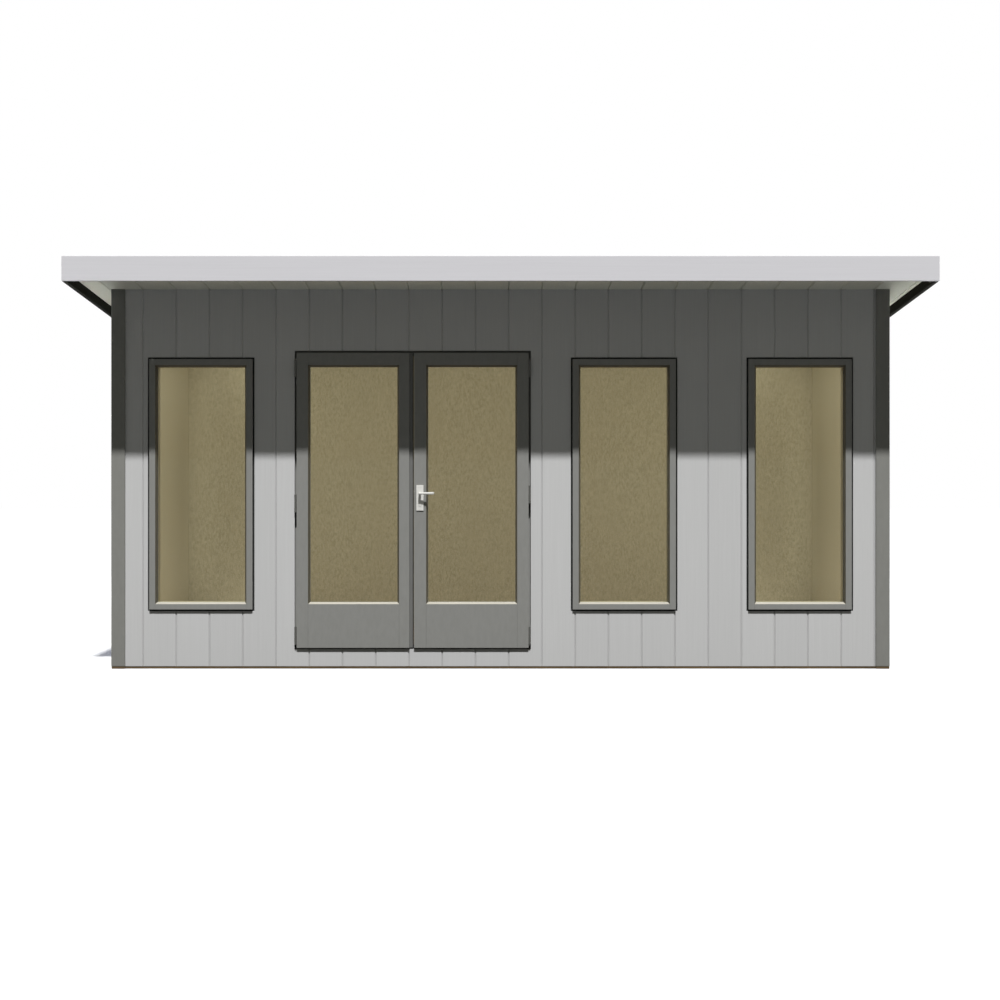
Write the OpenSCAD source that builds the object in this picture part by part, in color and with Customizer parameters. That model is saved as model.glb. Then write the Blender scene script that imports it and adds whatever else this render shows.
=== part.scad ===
// Garden office pod: an insulated timber room with a pent roof that falls to the back,
// a deep front overhang, three fixed windows and a pair of glazed doors.
// Sizes in millimetres. X runs along the front, Y from front to back, Z up from the ground.

/* [Body] */
// Width over the side cladding
body_w = 4800; // [4600:20:6000]
// Depth over the front and back cladding
body_d = 2440; // [1800:20:4000]
// Height of the soffit above the ground at the front cladding face
soffit_h = 2355; // [2200:5:2700]
// Thickness of the cladding boards
clad_t = 18; // [12:1:28]
// Thickness of the insulated wall panels with their lining
panel_t = 82; // [60:1:150]
// Clear height under the cladding
clad_lift = 15; // [5:1:50]
// Face width of the corner trims
trim_w = 85; // [50:1:140]
// Thickness of the corner trims
trim_t = 15; // [8:1:30]

/* [Setting out] */
// Body width on which the places of windows and doors are set out
set_out_w = 4800; // [4600:20:6000]
// Soffit height on which the heights of windows and doors are set out
set_out_h = 2355; // [2200:5:2700]

/* [Floor] */
// Height of the ground bearers
bearer_h = 75; // [50:1:90]
// Width of each ground bearer
bearer_w = 60; // [40:1:120]
// Number of ground bearers
bearer_n = 5; // [3:1:9]
// Thickness of the floor deck
deck_t = 25; // [15:1:28]

/* [Roof] */
// Fall of the roof towards the back, in degrees
roof_pitch = 3.65; // [1:0.05:7]
// Front overhang from the cladding to the fascia face
front_overhang = 650; // [150:10:1000]
// Side overhang from the cladding to the barge face
side_overhang = 185; // [80:5:400]
// Back overhang from the cladding to the back fascia face
back_overhang = 120; // [60:5:400]
// Thickness of the roof boards that make soffit and ceiling
board_t = 18; // [12:1:28]
// Thickness of the insulated roof panel
roof_panel_t = 70; // [40:1:150]
// Thickness of the roofing membrane
membrane_t = 4; // [2:1:8]
// Thickness of the fascia and barge boards
fascia_t = 25; // [15:1:40]
// How far the fascia and barge boards hang below the soffit
fascia_drop = 52; // [20:1:90]
// How far the fascia and barge boards stand above the membrane
kerb = 3; // [0:1:20]

/* [Glazing] */
// Width of glass in sight, the same in every window and door leaf
sight_w = 542; // [380:2:560]
// Height of glass in sight under a soffit at its set-out height
sight_h = 1460; // [1000:2:1480]
// Height of the lower sight line above the ground
sight_z = 413; // [380:1:500]
// Width of the sloped glazing bead
bead_w = 11.5; // [6:0.5:20]
// Depth of the sloped glazing bead
bead_d = 28; // [10:1:32]
// Thickness of the glass unit
glass_t = 10; // [4:1:16]
// Depth of the glass held in the timber on each edge
glass_hold = 10; // [5:1:20]
// How far window frames and door leaves stand proud of the cladding
proud = 18; // [5:1:30]

/* [Windows] */
// Middle of the left window on the set-out front
window_left_x = -1859; // [-1900:1:-1800]
// Middle of the middle window on the set-out front
window_mid_x = 768; // [700:1:850]
// Middle of the right window on the set-out front
window_right_x = 1859; // [1800:1:1900]
// Face width of the window stiles and top rails outside the bead
window_face = 37.5; // [25:0.5:50]
// Face width of the window bottom rails outside the bead
window_foot = 33.5; // [25:0.5:50]
// Shadow gap between a window frame and the cladding
window_gap = 11; // [4:1:20]

/* [Doors] */
// Middle of the pair of doors on the set-out front
door_x = -545; // [-600:1:-500]
// Height of the underside of the leaves above the ground
leaf_z = 130; // [122:1:160]
// Height of the leaves under a soffit at its set-out height
leaf_h = 1830; // [1790:1:1900]
// Thickness of the leaves
leaf_t = 50; // [48:1:64]
// Width of each hinge stile with its bead
hinge_stile = 82; // [60:1:110]
// Width of the left meeting stile with its bead
left_meeting_stile = 75; // [60:1:110]
// Width of the right meeting stile with its bead
right_meeting_stile = 87; // [70:1:110]
// Gap between the two meeting stiles
meeting_gap = 29; // [24:1:40]
// Gap at the hinge edges and over the leaves
door_gap = 14; // [10:1:18]
// Gap under the leaves
foot_gap = 8; // [6:1:12]
// Clear space between a closed leaf and its stop
stop_gap = 5; // [5:1:8]
// How far the stops reach behind the leaves
stop_lap = 14; // [8:1:24]
// Thickness of the door frame behind the cladding
frame_w = 40; // [25:1:60]
// Clear space between the meeting strip and the right leaf
strip_gap = 8; // [7:1:12]
// How far the meeting strip is set back from the leaf faces
strip_set = 14; // [6:1:20]

/* [Hinges] */
// Heights of the left leaf's three hinges on the set-out front
left_hinge_z = [205, 1026, 1865]; // [180:1:1900]
// Heights of the right leaf's three hinges on the set-out front
right_hinge_z = [205, 1082, 1865]; // [180:1:1900]
// Length of a hinge
hinge_l = 110; // [70:1:130]
// Thickness of the hinge flaps
flap_t = 2.5; // [1.5:0.5:4]
// Radius of the hinge pins
pin_r = 3.5; // [2:0.5:4]

/* [Handle] */
// Width of the handle plates
plate_w = 44; // [30:1:55]
// Height of the handle plates
plate_h = 158; // [120:1:240]
// Width of the bevel round the handle plates
plate_bevel = 1.5; // [1:0.5:5]
// Thickness of the handle plates
plate_t = 6; // [3:1:10]
// Middle height of the handle plates above the ground on the set-out front
plate_z = 1060; // [950:1:1150]
// Distance of the plate's middle line from the leaf edge
backset = 37; // [30:1:55]
// Height of the lever above the plate's middle
lever_rise = 29; // [10:1:60]
// Length of the lever from its spindle to its tip
lever_l = 86; // [70:1:130]
// Height of the lever bar
lever_h = 16; // [12:1:24]
// Thickness of the lever bar
lever_t = 12; // [8:1:18]
// Finger space between plate and lever bar
lever_space = 30; // [18:1:40]
// Radius of the lever neck that turns in the plates
neck_r = 8; // [7:0.5:12]

/* [View] */
// Piece to show

/* [Hidden] */
$fn = 48;
cut = 1;
run_fit = 0.05;
seat_fit = 0.05;
wall_t = clad_t + panel_t;
half_w = body_w / 2;
roof_w = body_w + 2 * side_overhang;
roof_d = front_overhang + body_d + back_overhang;
roof_front = -roof_d / 2;
roof_back = roof_d / 2;
front_y = roof_front + front_overhang;
back_y = front_y + body_d;
core_front = front_y + clad_t;
core_back = back_y - clad_t;
room_front = front_y + wall_t;
room_back = back_y - wall_t;
core_x = half_w - clad_t;
room_x = half_w - wall_t;
floor_z = bearer_h + deck_t;
roof_t = board_t + roof_panel_t;
face_y = front_y - proud;
head_rise = soffit_h - set_out_h;
leaf_top = leaf_z + leaf_h + head_rise;
sight_top = sight_z + sight_h + head_rise;
window_w = sight_w + 2 * (bead_w + window_face);
window_h = sight_top - sight_z + 2 * bead_w + window_face + window_foot;
window_z = sight_z - bead_w - window_foot;
left_leaf_w = hinge_stile + sight_w + left_meeting_stile;
right_leaf_w = hinge_stile + sight_w + right_meeting_stile;
pair_w = left_leaf_w + meeting_gap + right_leaf_w;
way_w = pair_w + 2 * door_gap;
opened_w = 3 * window_w + way_w;
spread = (body_w - opened_w) / (set_out_w - opened_w);
left_window = front_place(window_left_x, window_w, 0);
mid_window = front_place(window_mid_x, window_w, window_w + way_w);
right_window = front_place(window_right_x, window_w, 2 * window_w + way_w);
way_x0 = front_place(door_x, way_w, window_w) - way_w / 2;
way_x1 = way_x0 + way_w;
left_x0 = way_x0 + door_gap;
left_x1 = left_x0 + left_leaf_w;
right_x0 = left_x1 + meeting_gap;
right_x1 = way_x1 - door_gap;
leaf_back = face_y + leaf_t;
stop_y = leaf_back + stop_gap;
way_z0 = leaf_z - foot_gap;
way_z1 = leaf_top + door_gap;
stop_in = door_gap + stop_lap;
stop_z0 = leaf_z + stop_lap;
stop_z1 = leaf_top - stop_lap;
frame_x0 = way_x0 - frame_w;
frame_x1 = way_x1 + frame_w;
frame_z1 = way_z1 + frame_w;
knuckle_r = door_gap / 2;
knuckle_l = hinge_l / 3;
plate_x = right_x0 + backset;
plate_mid = leaf_place(plate_z);
lever_z = plate_mid + lever_rise;
plate_out = face_y - plate_t;
plate_in = leaf_back + plate_t;
spindle_r = neck_r / 2;

function soffit(y) = soffit_h - (y - front_y) * tan(roof_pitch);

// Middle of an opening of width w along the front, with openings of a width "before" to its
// left: the wall between the openings widens and narrows with the body
function front_place(x, w, before) =
    before + w / 2 - half_w + spread * (set_out_w / 2 + x - w / 2 - before);

// Height on a leaf, which lengthens with the leaf from its foot up
function leaf_place(z) = leaf_z + (z - leaf_z) * (leaf_top - leaf_z) / leaf_h;

// Block between two corners given in any order
module block(x0, x1, y0, y1, z0, z1) {
    translate([min(x0, x1), min(y0, y1), min(z0, z1)])
        cube([abs(x1 - x0), abs(y1 - y0), abs(z1 - z0)]);
}

// A section drawn in Y and Z, run along X
module along_x(x0, x1) {
    translate([x0, 0, 0])
        rotate([90, 0, 90])
            linear_extrude(x1 - x0)
                children();
}

// A section drawn in X and Z, run along Y
module along_y(y0, y1) {
    translate([0, y1, 0])
        rotate([90, 0, 0])
            linear_extrude(y1 - y0)
                children();
}

module rod_y(x, z, y0, y1, r) {
    translate([x, y1, z])
        rotate([90, 0, 0])
            cylinder(r = r, h = y1 - y0);
}

module rod_z(x, y, z0, z1, r) {
    translate([x, y, z0])
        cylinder(r = r, h = z1 - z0);
}

// Section that follows the roof's fall, from one height over the soffit to another
module slope_band(y0, y1, low, high) {
    polygon([[y0, soffit(y0) + low], [y1, soffit(y1) + low],
        [y1, soffit(y1) + high], [y0, soffit(y0) + high]]);
}

// Section of a wall from a level foot up to its seat under the sloping soffit
module wall_section(y0, y1, foot) {
    polygon([[y0, foot], [y1, foot], [y1, soffit(y1) - seat_fit], [y0, soffit(y0) - seat_fit]]);
}

// Hole for a window frame with a margin round it
module window_hole(x, margin, y0, y1) {
    block(x - window_w / 2 - margin, x + window_w / 2 + margin, y0 - cut, y1 + cut,
        window_z - margin, window_z + window_h + margin);
}

// Opening that narrows from the face to the glass on all four sides, with mitred corners
module bead_opening(x) {
    grow = bead_w * (1 + cut / bead_d);
    wide = sight_w / 2;
    intersection() {
        translate([0, 0, sight_z - grow])
            linear_extrude(sight_top - sight_z + 2 * grow)
                polygon([[x - wide - grow, face_y - cut], [x + wide + grow, face_y - cut],
                    [x + wide, face_y + bead_d], [x - wide, face_y + bead_d]]);
        along_x(x - wide - grow, x + wide + grow)
            polygon([[face_y - cut, sight_z - grow], [face_y - cut, sight_top + grow],
                [face_y + bead_d, sight_top], [face_y + bead_d, sight_z]]);
    }
}

// Glass unit seated all round in the timber
module glass_unit(x) {
    block(x - sight_w / 2 - glass_hold, x + sight_w / 2 + glass_hold,
        face_y + bead_d, face_y + bead_d + glass_t,
        sight_z - glass_hold, sight_top + glass_hold);
}

// Everything taken out of a frame or leaf for its glass
module glazing_cut(x, back) {
    bead_opening(x);
    glass_unit(x);
    block(x - sight_w / 2, x + sight_w / 2, face_y + bead_d - cut, back + cut, sight_z, sight_top);
}

module window_frame(x) {
    difference() {
        block(x - window_w / 2, x + window_w / 2, face_y, room_front,
            window_z, window_z + window_h);
        glazing_cut(x, room_front);
    }
}

// Corner trim of two boards, its top cut to the soffit; sx and sy point out of the corner
module corner_trim(sx, sy) {
    cx = sx * half_w;
    cy = sy < 0 ? front_y : back_y;
    ox = cx + sx * trim_t;
    oy = cy + sy * trim_t;
    difference() {
        translate([0, 0, clad_lift])
            linear_extrude(soffit_h + roof_t)
                polygon([[ox, oy], [ox - sx * trim_w, oy], [ox - sx * trim_w, cy],
                    [cx, cy], [cx, oy - sy * trim_w], [ox, oy - sy * trim_w]]);
        along_x(min(ox, ox - sx * trim_w) - cut, max(ox, ox - sx * trim_w) + cut)
            slope_band(min(oy, oy - sy * trim_w) - cut, max(oy, oy - sy * trim_w) + cut,
                -seat_fit, soffit_h + roof_t);
    }
}

// Fixed half of a hinge: notched flap, outer knuckles and the pin
module frame_hinge(edge, s, z) {
    axis_x = edge + s * knuckle_r;
    low = z - hinge_l / 2;
    high = z + hinge_l / 2;
    difference() {
        block(edge, edge + s * flap_t, face_y, stop_y, low, high);
        block(edge - s * cut, edge + s * (flap_t + cut), face_y - cut,
            face_y + knuckle_r + cut, z - knuckle_l / 2, z + knuckle_l / 2);
    }
    rod_z(axis_x, face_y, low, z - knuckle_l / 2, knuckle_r);
    rod_z(axis_x, face_y, z + knuckle_l / 2, high, knuckle_r);
    rod_z(axis_x, face_y, low, high, pin_r);
}

// Moving half of a hinge: notched flap on the leaf edge and the bored middle knuckle
module leaf_hinge(edge, s, z) {
    axis_x = edge + s * knuckle_r;
    leaf_x = edge + s * door_gap;
    low = z - hinge_l / 2;
    high = z + hinge_l / 2;
    mid_low = z - knuckle_l / 2 + cut / 2;
    mid_high = z + knuckle_l / 2 - cut / 2;
    difference() {
        union() {
            block(leaf_x - s * flap_t, leaf_x, face_y + knuckle_r + cut, leaf_back, low, high);
            block(leaf_x - s * flap_t, leaf_x, face_y, leaf_back, mid_low, mid_high);
            rod_z(axis_x, face_y, mid_low, mid_high, knuckle_r);
        }
        rod_z(axis_x, face_y, low, high, pin_r + run_fit);
    }
}

module ground_bearers() {
    color("#5A4A30")
        for (i = [0 : bearer_n - 1]) {
            y = core_front + i * (core_back - core_front - bearer_w) / (bearer_n - 1);
            block(-core_x, core_x, y, y + bearer_w, 0, bearer_h);
        }
}

module floor_deck() {
    color("#9A8560")
        block(-core_x, core_x, core_front, core_back, bearer_h, floor_z);
}

module front_wall_left() {
    color("#A08F68")
        difference() {
            along_x(-core_x, frame_x0)
                wall_section(core_front, room_front, floor_z);
            window_hole(left_window, 0, core_front, room_front);
        }
}

module front_wall_right() {
    color("#A08F68")
        difference() {
            along_x(frame_x1, core_x)
                wall_section(core_front, room_front, floor_z);
            window_hole(mid_window, 0, core_front, room_front);
            window_hole(right_window, 0, core_front, room_front);
        }
}

module front_wall_over_door() {
    color("#A08F68")
        along_x(frame_x0, frame_x1)
            wall_section(core_front, room_front, frame_z1);
}

module left_wall() {
    color("#A08F68")
        along_x(-core_x, -room_x)
            wall_section(room_front, room_back, floor_z);
}

module right_wall() {
    color("#A08F68")
        along_x(room_x, core_x)
            wall_section(room_front, room_back, floor_z);
}

module back_wall() {
    color("#A08F68")
        along_x(-core_x, core_x)
            wall_section(room_back, core_back, floor_z);
}

module front_cladding_left() {
    color("#B4B4B4")
        difference() {
            along_x(-half_w, way_x0)
                wall_section(front_y, core_front, clad_lift);
            window_hole(left_window, window_gap, front_y, core_front);
        }
}

module front_cladding_right() {
    color("#B4B4B4")
        difference() {
            along_x(way_x1, half_w)
                wall_section(front_y, core_front, clad_lift);
            window_hole(mid_window, window_gap, front_y, core_front);
            window_hole(right_window, window_gap, front_y, core_front);
        }
}

module front_cladding_over_door() {
    color("#B4B4B4")
        along_x(way_x0, way_x1)
            wall_section(front_y, core_front, way_z1);
}

module front_cladding_under_door() {
    color("#B4B4B4")
        block(way_x0, way_x1, front_y, core_front, clad_lift, way_z0);
}

module left_cladding() {
    color("#B4B4B4")
        along_x(-half_w, -core_x)
            wall_section(core_front, core_back, clad_lift);
}

module right_cladding() {
    color("#B4B4B4")
        along_x(core_x, half_w)
            wall_section(core_front, core_back, clad_lift);
}

module back_cladding() {
    color("#B4B4B4")
        along_x(-half_w, half_w)
            wall_section(core_back, back_y, clad_lift);
}

module trim_front_left() {
    color("#868684")
        corner_trim(-1, -1);
}

module trim_front_right() {
    color("#868684")
        corner_trim(1, -1);
}

module trim_back_left() {
    color("#868684")
        corner_trim(-1, 1);
}

module trim_back_right() {
    color("#868684")
        corner_trim(1, 1);
}

module roof_boards() {
    color("#C9C3A0")
        along_x(-roof_w / 2 + fascia_t, roof_w / 2 - fascia_t)
            slope_band(roof_front + fascia_t, roof_back - fascia_t, 0, board_t);
}

module roof_panel() {
    color("#B9A67C")
        along_x(-roof_w / 2 + fascia_t, roof_w / 2 - fascia_t)
            slope_band(roof_front + fascia_t, roof_back - fascia_t, board_t, roof_t);
}

module roof_membrane() {
    color("#2E2F30")
        along_x(-roof_w / 2 + fascia_t, roof_w / 2 - fascia_t)
            slope_band(roof_front + fascia_t, roof_back, roof_t, roof_t + membrane_t);
}

module front_fascia() {
    color("#C6C5CA")
        block(-roof_w / 2, roof_w / 2, roof_front, roof_front + fascia_t,
            soffit(roof_front) - fascia_drop, soffit(roof_front) + roof_t + membrane_t + kerb);
}

module back_fascia() {
    color("#C6C5CA")
        along_x(-roof_w / 2, roof_w / 2)
            slope_band(roof_back - fascia_t, roof_back, -fascia_drop, roof_t - seat_fit);
}

module left_barge() {
    color("#868684")
        along_x(-roof_w / 2, -roof_w / 2 + fascia_t)
            slope_band(roof_front + fascia_t, roof_back - fascia_t, -fascia_drop,
                roof_t + membrane_t + kerb);
}

module right_barge() {
    color("#868684")
        along_x(roof_w / 2 - fascia_t, roof_w / 2)
            slope_band(roof_front + fascia_t, roof_back - fascia_t, -fascia_drop,
                roof_t + membrane_t + kerb);
}

module window_frame_left() {
    color("#868684")
        window_frame(left_window);
}

module window_frame_middle() {
    color("#868684")
        window_frame(mid_window);
}

module window_frame_right() {
    color("#868684")
        window_frame(right_window);
}

module window_glass_left() {
    color("#9FB0B0", 0.4)
        glass_unit(left_window);
}

module window_glass_middle() {
    color("#9FB0B0", 0.4)
        glass_unit(mid_window);
}

module window_glass_right() {
    color("#9FB0B0", 0.4)
        glass_unit(right_window);
}

module door_jambs() {
    color("#868684") {
        block(frame_x0, way_x0, core_front, stop_y, way_z0, way_z1);
        block(frame_x0, way_x0 + stop_in, stop_y, room_front, stop_z0, stop_z1);
        block(way_x1, frame_x1, core_front, stop_y, way_z0, way_z1);
        block(way_x1 - stop_in, frame_x1, stop_y, room_front, stop_z0, stop_z1);
    }
}

module door_head() {
    color("#868684")
        along_x(frame_x0, frame_x1)
            polygon([[core_front, way_z1], [stop_y, way_z1], [stop_y, stop_z1],
                [room_front, stop_z1], [room_front, frame_z1], [core_front, frame_z1]]);
}

module door_threshold() {
    color("#868684")
        along_x(frame_x0, frame_x1)
            polygon([[core_front, floor_z], [room_front, floor_z], [room_front, stop_z0],
                [stop_y, stop_z0], [stop_y, way_z0], [core_front, way_z0]]);
}

module frame_hinges() {
    color("#6E6F70") {
        for (z = left_hinge_z)
            frame_hinge(way_x0, 1, leaf_place(z));
        for (z = right_hinge_z)
            frame_hinge(way_x1, -1, leaf_place(z));
    }
}

module left_door_leaf() {
    color("#868684")
        difference() {
            block(left_x0, left_x1, face_y, leaf_back, leaf_z, leaf_top);
            glazing_cut(left_x0 + hinge_stile + sight_w / 2, leaf_back);
        }
}

module left_door_glass() {
    color("#9FB0B0", 0.4)
        glass_unit(left_x0 + hinge_stile + sight_w / 2);
}

module meeting_strip() {
    color("#868684")
        block(left_x1, right_x0 - strip_gap, face_y + strip_set, leaf_back, leaf_z, leaf_top);
}

module left_door_hinges() {
    color("#6E6F70")
        for (z = left_hinge_z)
            leaf_hinge(way_x0, 1, leaf_place(z));
}

module right_door_leaf() {
    color("#868684")
        difference() {
            block(right_x0, right_x1, face_y, leaf_back, leaf_z, leaf_top);
            glazing_cut(right_x1 - hinge_stile - sight_w / 2, leaf_back);
            rod_y(plate_x, lever_z, face_y - cut, leaf_back + cut, neck_r + stop_gap);
        }
}

module right_door_glass() {
    color("#9FB0B0", 0.4)
        glass_unit(right_x1 - hinge_stile - sight_w / 2);
}

module right_door_hinges() {
    color("#6E6F70")
        for (z = right_hinge_z)
            leaf_hinge(way_x1, -1, leaf_place(z));
}

// Section of a handle plate across one of its sizes: square at the leaf, bevelled at the front
module plate_section(mid, size, seat, front) {
    half = size / 2;
    knee = front + (seat > front ? plate_bevel : -plate_bevel) / 2;
    polygon([[seat, mid - half], [seat, mid + half], [knee, mid + half],
        [front, mid + half - plate_bevel], [front, mid - half + plate_bevel], [knee, mid - half]]);
}

// Handle plate bevelled on all four edges, with a bore for the lever neck
module handle_plate(seat, front) {
    difference() {
        intersection() {
            along_x(plate_x - plate_w / 2, plate_x + plate_w / 2)
                plate_section(plate_mid, plate_h, seat, front);
            translate([0, 0, plate_mid - plate_h / 2])
                linear_extrude(plate_h)
                    mirror([1, -1, 0])
                        plate_section(plate_x, plate_w, seat, front);
        }
        rod_y(plate_x, lever_z, min(seat, front) - cut, max(seat, front) + cut, neck_r + run_fit);
    }
}

module handle_plates() {
    color("#D8D8D6") {
        handle_plate(face_y, plate_out);
        handle_plate(leaf_back, plate_in);
    }
}

// Lever bar with a round tip, beside its plate
module lever_bar(y0, y1) {
    r = lever_h / 2;
    block(plate_x, plate_x + lever_l - r, y0, y1, lever_z - r, lever_z + r);
    rod_y(plate_x, lever_z, y0, y1, r);
    rod_y(plate_x + lever_l - r, lever_z, y0, y1, r);
}

module door_lever() {
    bar_out = plate_out - lever_space;
    bar_in = plate_in + lever_space;
    color("#D8D8D6") {
        lever_bar(bar_out - lever_t, bar_out);
        rod_y(plate_x, lever_z, bar_out - cut, face_y, neck_r);
        rod_y(plate_x, lever_z, face_y - cut, leaf_back + cut, spindle_r);
        rod_y(plate_x, lever_z, leaf_back, bar_in + cut, neck_r);
        lever_bar(bar_in, bar_in + lever_t);
    }
}

ground_bearers();
floor_deck();
front_wall_left();
front_wall_right();
front_wall_over_door();
left_wall();
right_wall();
back_wall();
front_cladding_left();
front_cladding_right();
front_cladding_over_door();
front_cladding_under_door();
left_cladding();
right_cladding();
back_cladding();
trim_front_left();
trim_front_right();
trim_back_left();
trim_back_right();
roof_boards();
roof_panel();
roof_membrane();
front_fascia();
back_fascia();
left_barge();
right_barge();
window_frame_left();
window_frame_middle();
window_frame_right();
window_glass_left();
window_glass_middle();
window_glass_right();
door_jambs();
door_head();
door_threshold();
frame_hinges();
left_door_leaf();
left_door_glass();
meeting_strip();
left_door_hinges();
right_door_leaf();
right_door_glass();
right_door_hinges();
handle_plates();
door_lever();
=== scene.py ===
"""Looks of a garden office pod: a timber room with a pent roof, three windows and a pair of glazed doors.
Metres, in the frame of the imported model: X along the front, Y from front to back, Z up from the ground."""

import bmesh
import bpy
from mathutils import Matrix, Vector


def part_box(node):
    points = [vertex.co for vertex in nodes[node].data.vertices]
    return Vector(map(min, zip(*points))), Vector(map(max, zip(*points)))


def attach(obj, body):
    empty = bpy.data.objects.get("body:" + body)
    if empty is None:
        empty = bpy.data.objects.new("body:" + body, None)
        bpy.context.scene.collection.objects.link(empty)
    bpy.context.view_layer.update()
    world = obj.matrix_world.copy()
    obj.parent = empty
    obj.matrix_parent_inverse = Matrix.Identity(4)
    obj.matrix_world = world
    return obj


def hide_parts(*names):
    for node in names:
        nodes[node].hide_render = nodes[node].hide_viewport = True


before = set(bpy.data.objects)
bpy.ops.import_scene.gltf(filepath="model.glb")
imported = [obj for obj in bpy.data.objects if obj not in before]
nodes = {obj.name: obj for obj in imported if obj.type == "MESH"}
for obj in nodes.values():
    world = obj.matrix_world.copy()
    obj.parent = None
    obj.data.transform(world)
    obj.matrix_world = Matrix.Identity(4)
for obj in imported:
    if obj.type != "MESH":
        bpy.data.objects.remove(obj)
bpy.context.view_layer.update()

# Ground bearers
# Five sawn softwood beams, pressure-treated brown, lie along the pod on the levelled ground and carry
# its floor. The sole strips hide them from the front.


def linear(hex_colour):
    """An sRGB hex colour as the linear RGBA that a shader takes."""
    parts = [int(hex_colour[i:i + 2], 16) / 255 for i in (1, 3, 5)]
    return [p / 12.92 if p <= 0.04045 else ((p + 0.055) / 1.055) ** 2.4 for p in parts] + [1.0]


def add_node(tree, kind, settings):
    """Adds a node and sets its properties and inputs. An input takes a plain value, a hex colour, or the
    socket of another node, which is linked to it."""
    node = tree.nodes.new(kind)
    for key, value in settings.items():
        if isinstance(key, str) and key not in node.inputs:
            setattr(node, key, value)
        elif isinstance(value, bpy.types.NodeSocket):
            tree.links.new(value, node.inputs[key])
        else:
            node.inputs[key].default_value = linear(value) if isinstance(value, str) else value
    return node


def start_material(name, settings):
    """A new material with these sockets set on its shader: the material, its tree and the shader."""
    material = bpy.data.materials.new(name)
    material.use_nodes = True
    shader = material.node_tree.nodes["Principled BSDF"]
    for key, value in settings.items():
        shader.inputs[key].default_value = value
    return material, material.node_tree, shader


def streaks(tree, across, lengthwise, along):
    """Soft streaks along one axis, of a real width and length in metres, as a value from 0 to 1."""
    usual = (0.3, 0.7)
    scale = [1 / across] * 3
    scale[along] = 1 / lengthwise
    place = add_node(tree, "ShaderNodeTexCoord", {})
    stretch = add_node(tree, "ShaderNodeMapping", {"Scale": scale, "Vector": place.outputs["Object"]})
    noise = add_node(tree, "ShaderNodeTexNoise", {
        "Scale": 1.0, "Detail": 4.0, "Roughness": 0.6, "Vector": stretch.outputs["Vector"]})
    spread = add_node(tree, "ShaderNodeMapRange", {
        "From Min": usual[0], "From Max": usual[1], "Value": noise.outputs[0]})
    return spread.outputs[0]


def mix_colours(tree, factor, first, second):
    """The blend of two colours by a value, where a colour is a hex string or a socket."""
    mix = add_node(tree, "ShaderNodeMix", {"data_type": "RGBA", 0: factor, 6: first, 7: second})
    return mix.outputs[2]


def tint(tree, shader, factor, first, second):
    """Gives a shader the blend of two colours by a value."""
    tree.links.new(mix_colours(tree, factor, first, second), shader.inputs["Base Color"])


def add_relief(tree, shader, height, depth):
    """Surface relief of a real depth in metres, from a value of 0 to 1."""
    bump = add_node(tree, "ShaderNodeBump", {"Strength": 1.0, "Distance": depth, "Height": height})
    tree.links.new(bump.outputs["Normal"], shader.inputs["Normal"])


def add_cuboid(bm, low, high):
    """A plain cuboid between two corners, as its vertices."""
    low, high = Vector(low), Vector(high)
    place = Matrix.Translation((low + high) / 2) @ Matrix.Diagonal((*(high - low), 1))
    return bmesh.ops.create_cube(bm, size=1, matrix=place)["verts"]


def edges_of(verts):
    """The edges at these vertices, once each and in a fixed order."""
    return list(dict.fromkeys(edge for vert in verts for edge in vert.link_edges))


def bevel(bm, edges, width, steps):
    """Bevels edges by a width, in a number of flat steps."""
    bmesh.ops.bevel(bm, geom=edges, offset=width, offset_type="OFFSET", segments=steps, profile=0.5,
                    affect="EDGES", material=-1)


def add_block(bm, low, high, ease=0.0, shape=None):
    """A square-cut piece between two corners, moved to its shape, its arrises eased by a bevel."""
    verts = add_cuboid(bm, low, high)
    edges = edges_of(verts)
    if shape:
        for vert in verts:
            vert.co.z = shape(vert.co)
    if ease:
        bevel(bm, edges, ease, steps=2)


def finish_piece(name, bm, materials, body, replaced=()):
    """Makes the mesh an object with its materials, body, material slot and the nodes it stands for."""
    mesh = bpy.data.meshes.new(name)
    bm.normal_update()
    bm.to_mesh(mesh)
    bm.free()
    for material in materials:
        mesh.materials.append(material)
    piece = bpy.data.objects.new(name, mesh)
    bpy.context.scene.collection.objects.link(piece)
    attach(piece, body)
    if replaced:
        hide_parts(*replaced)
    return piece


# Sawn softwood, brown from its treatment: dull, with long dark grain and a rough sawn face.
treated_softwood, tree, shader = start_material("treated_softwood", {"Roughness": 0.85})
grain = streaks(tree, across=0.007, lengthwise=0.35, along=0)
tint(tree, shader, grain, "#3F321F", "#6A5638")
add_relief(tree, shader, grain, depth=0.0015)

bearer_count = 5
bearer_width = 0.060
bearer_ease = 0.003
low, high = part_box("ground_bearers")
bearer_step = (high.y - low.y - bearer_width) / (bearer_count - 1)
bm = bmesh.new()
for i in range(bearer_count):
    y = low.y + i * bearer_step
    add_block(bm, (low.x, y, low.z), (high.x, y + bearer_width, high.z), bearer_ease)
finish_piece("bearer_beams", bm, [treated_softwood], "building", ["ground_bearers"])

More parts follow.
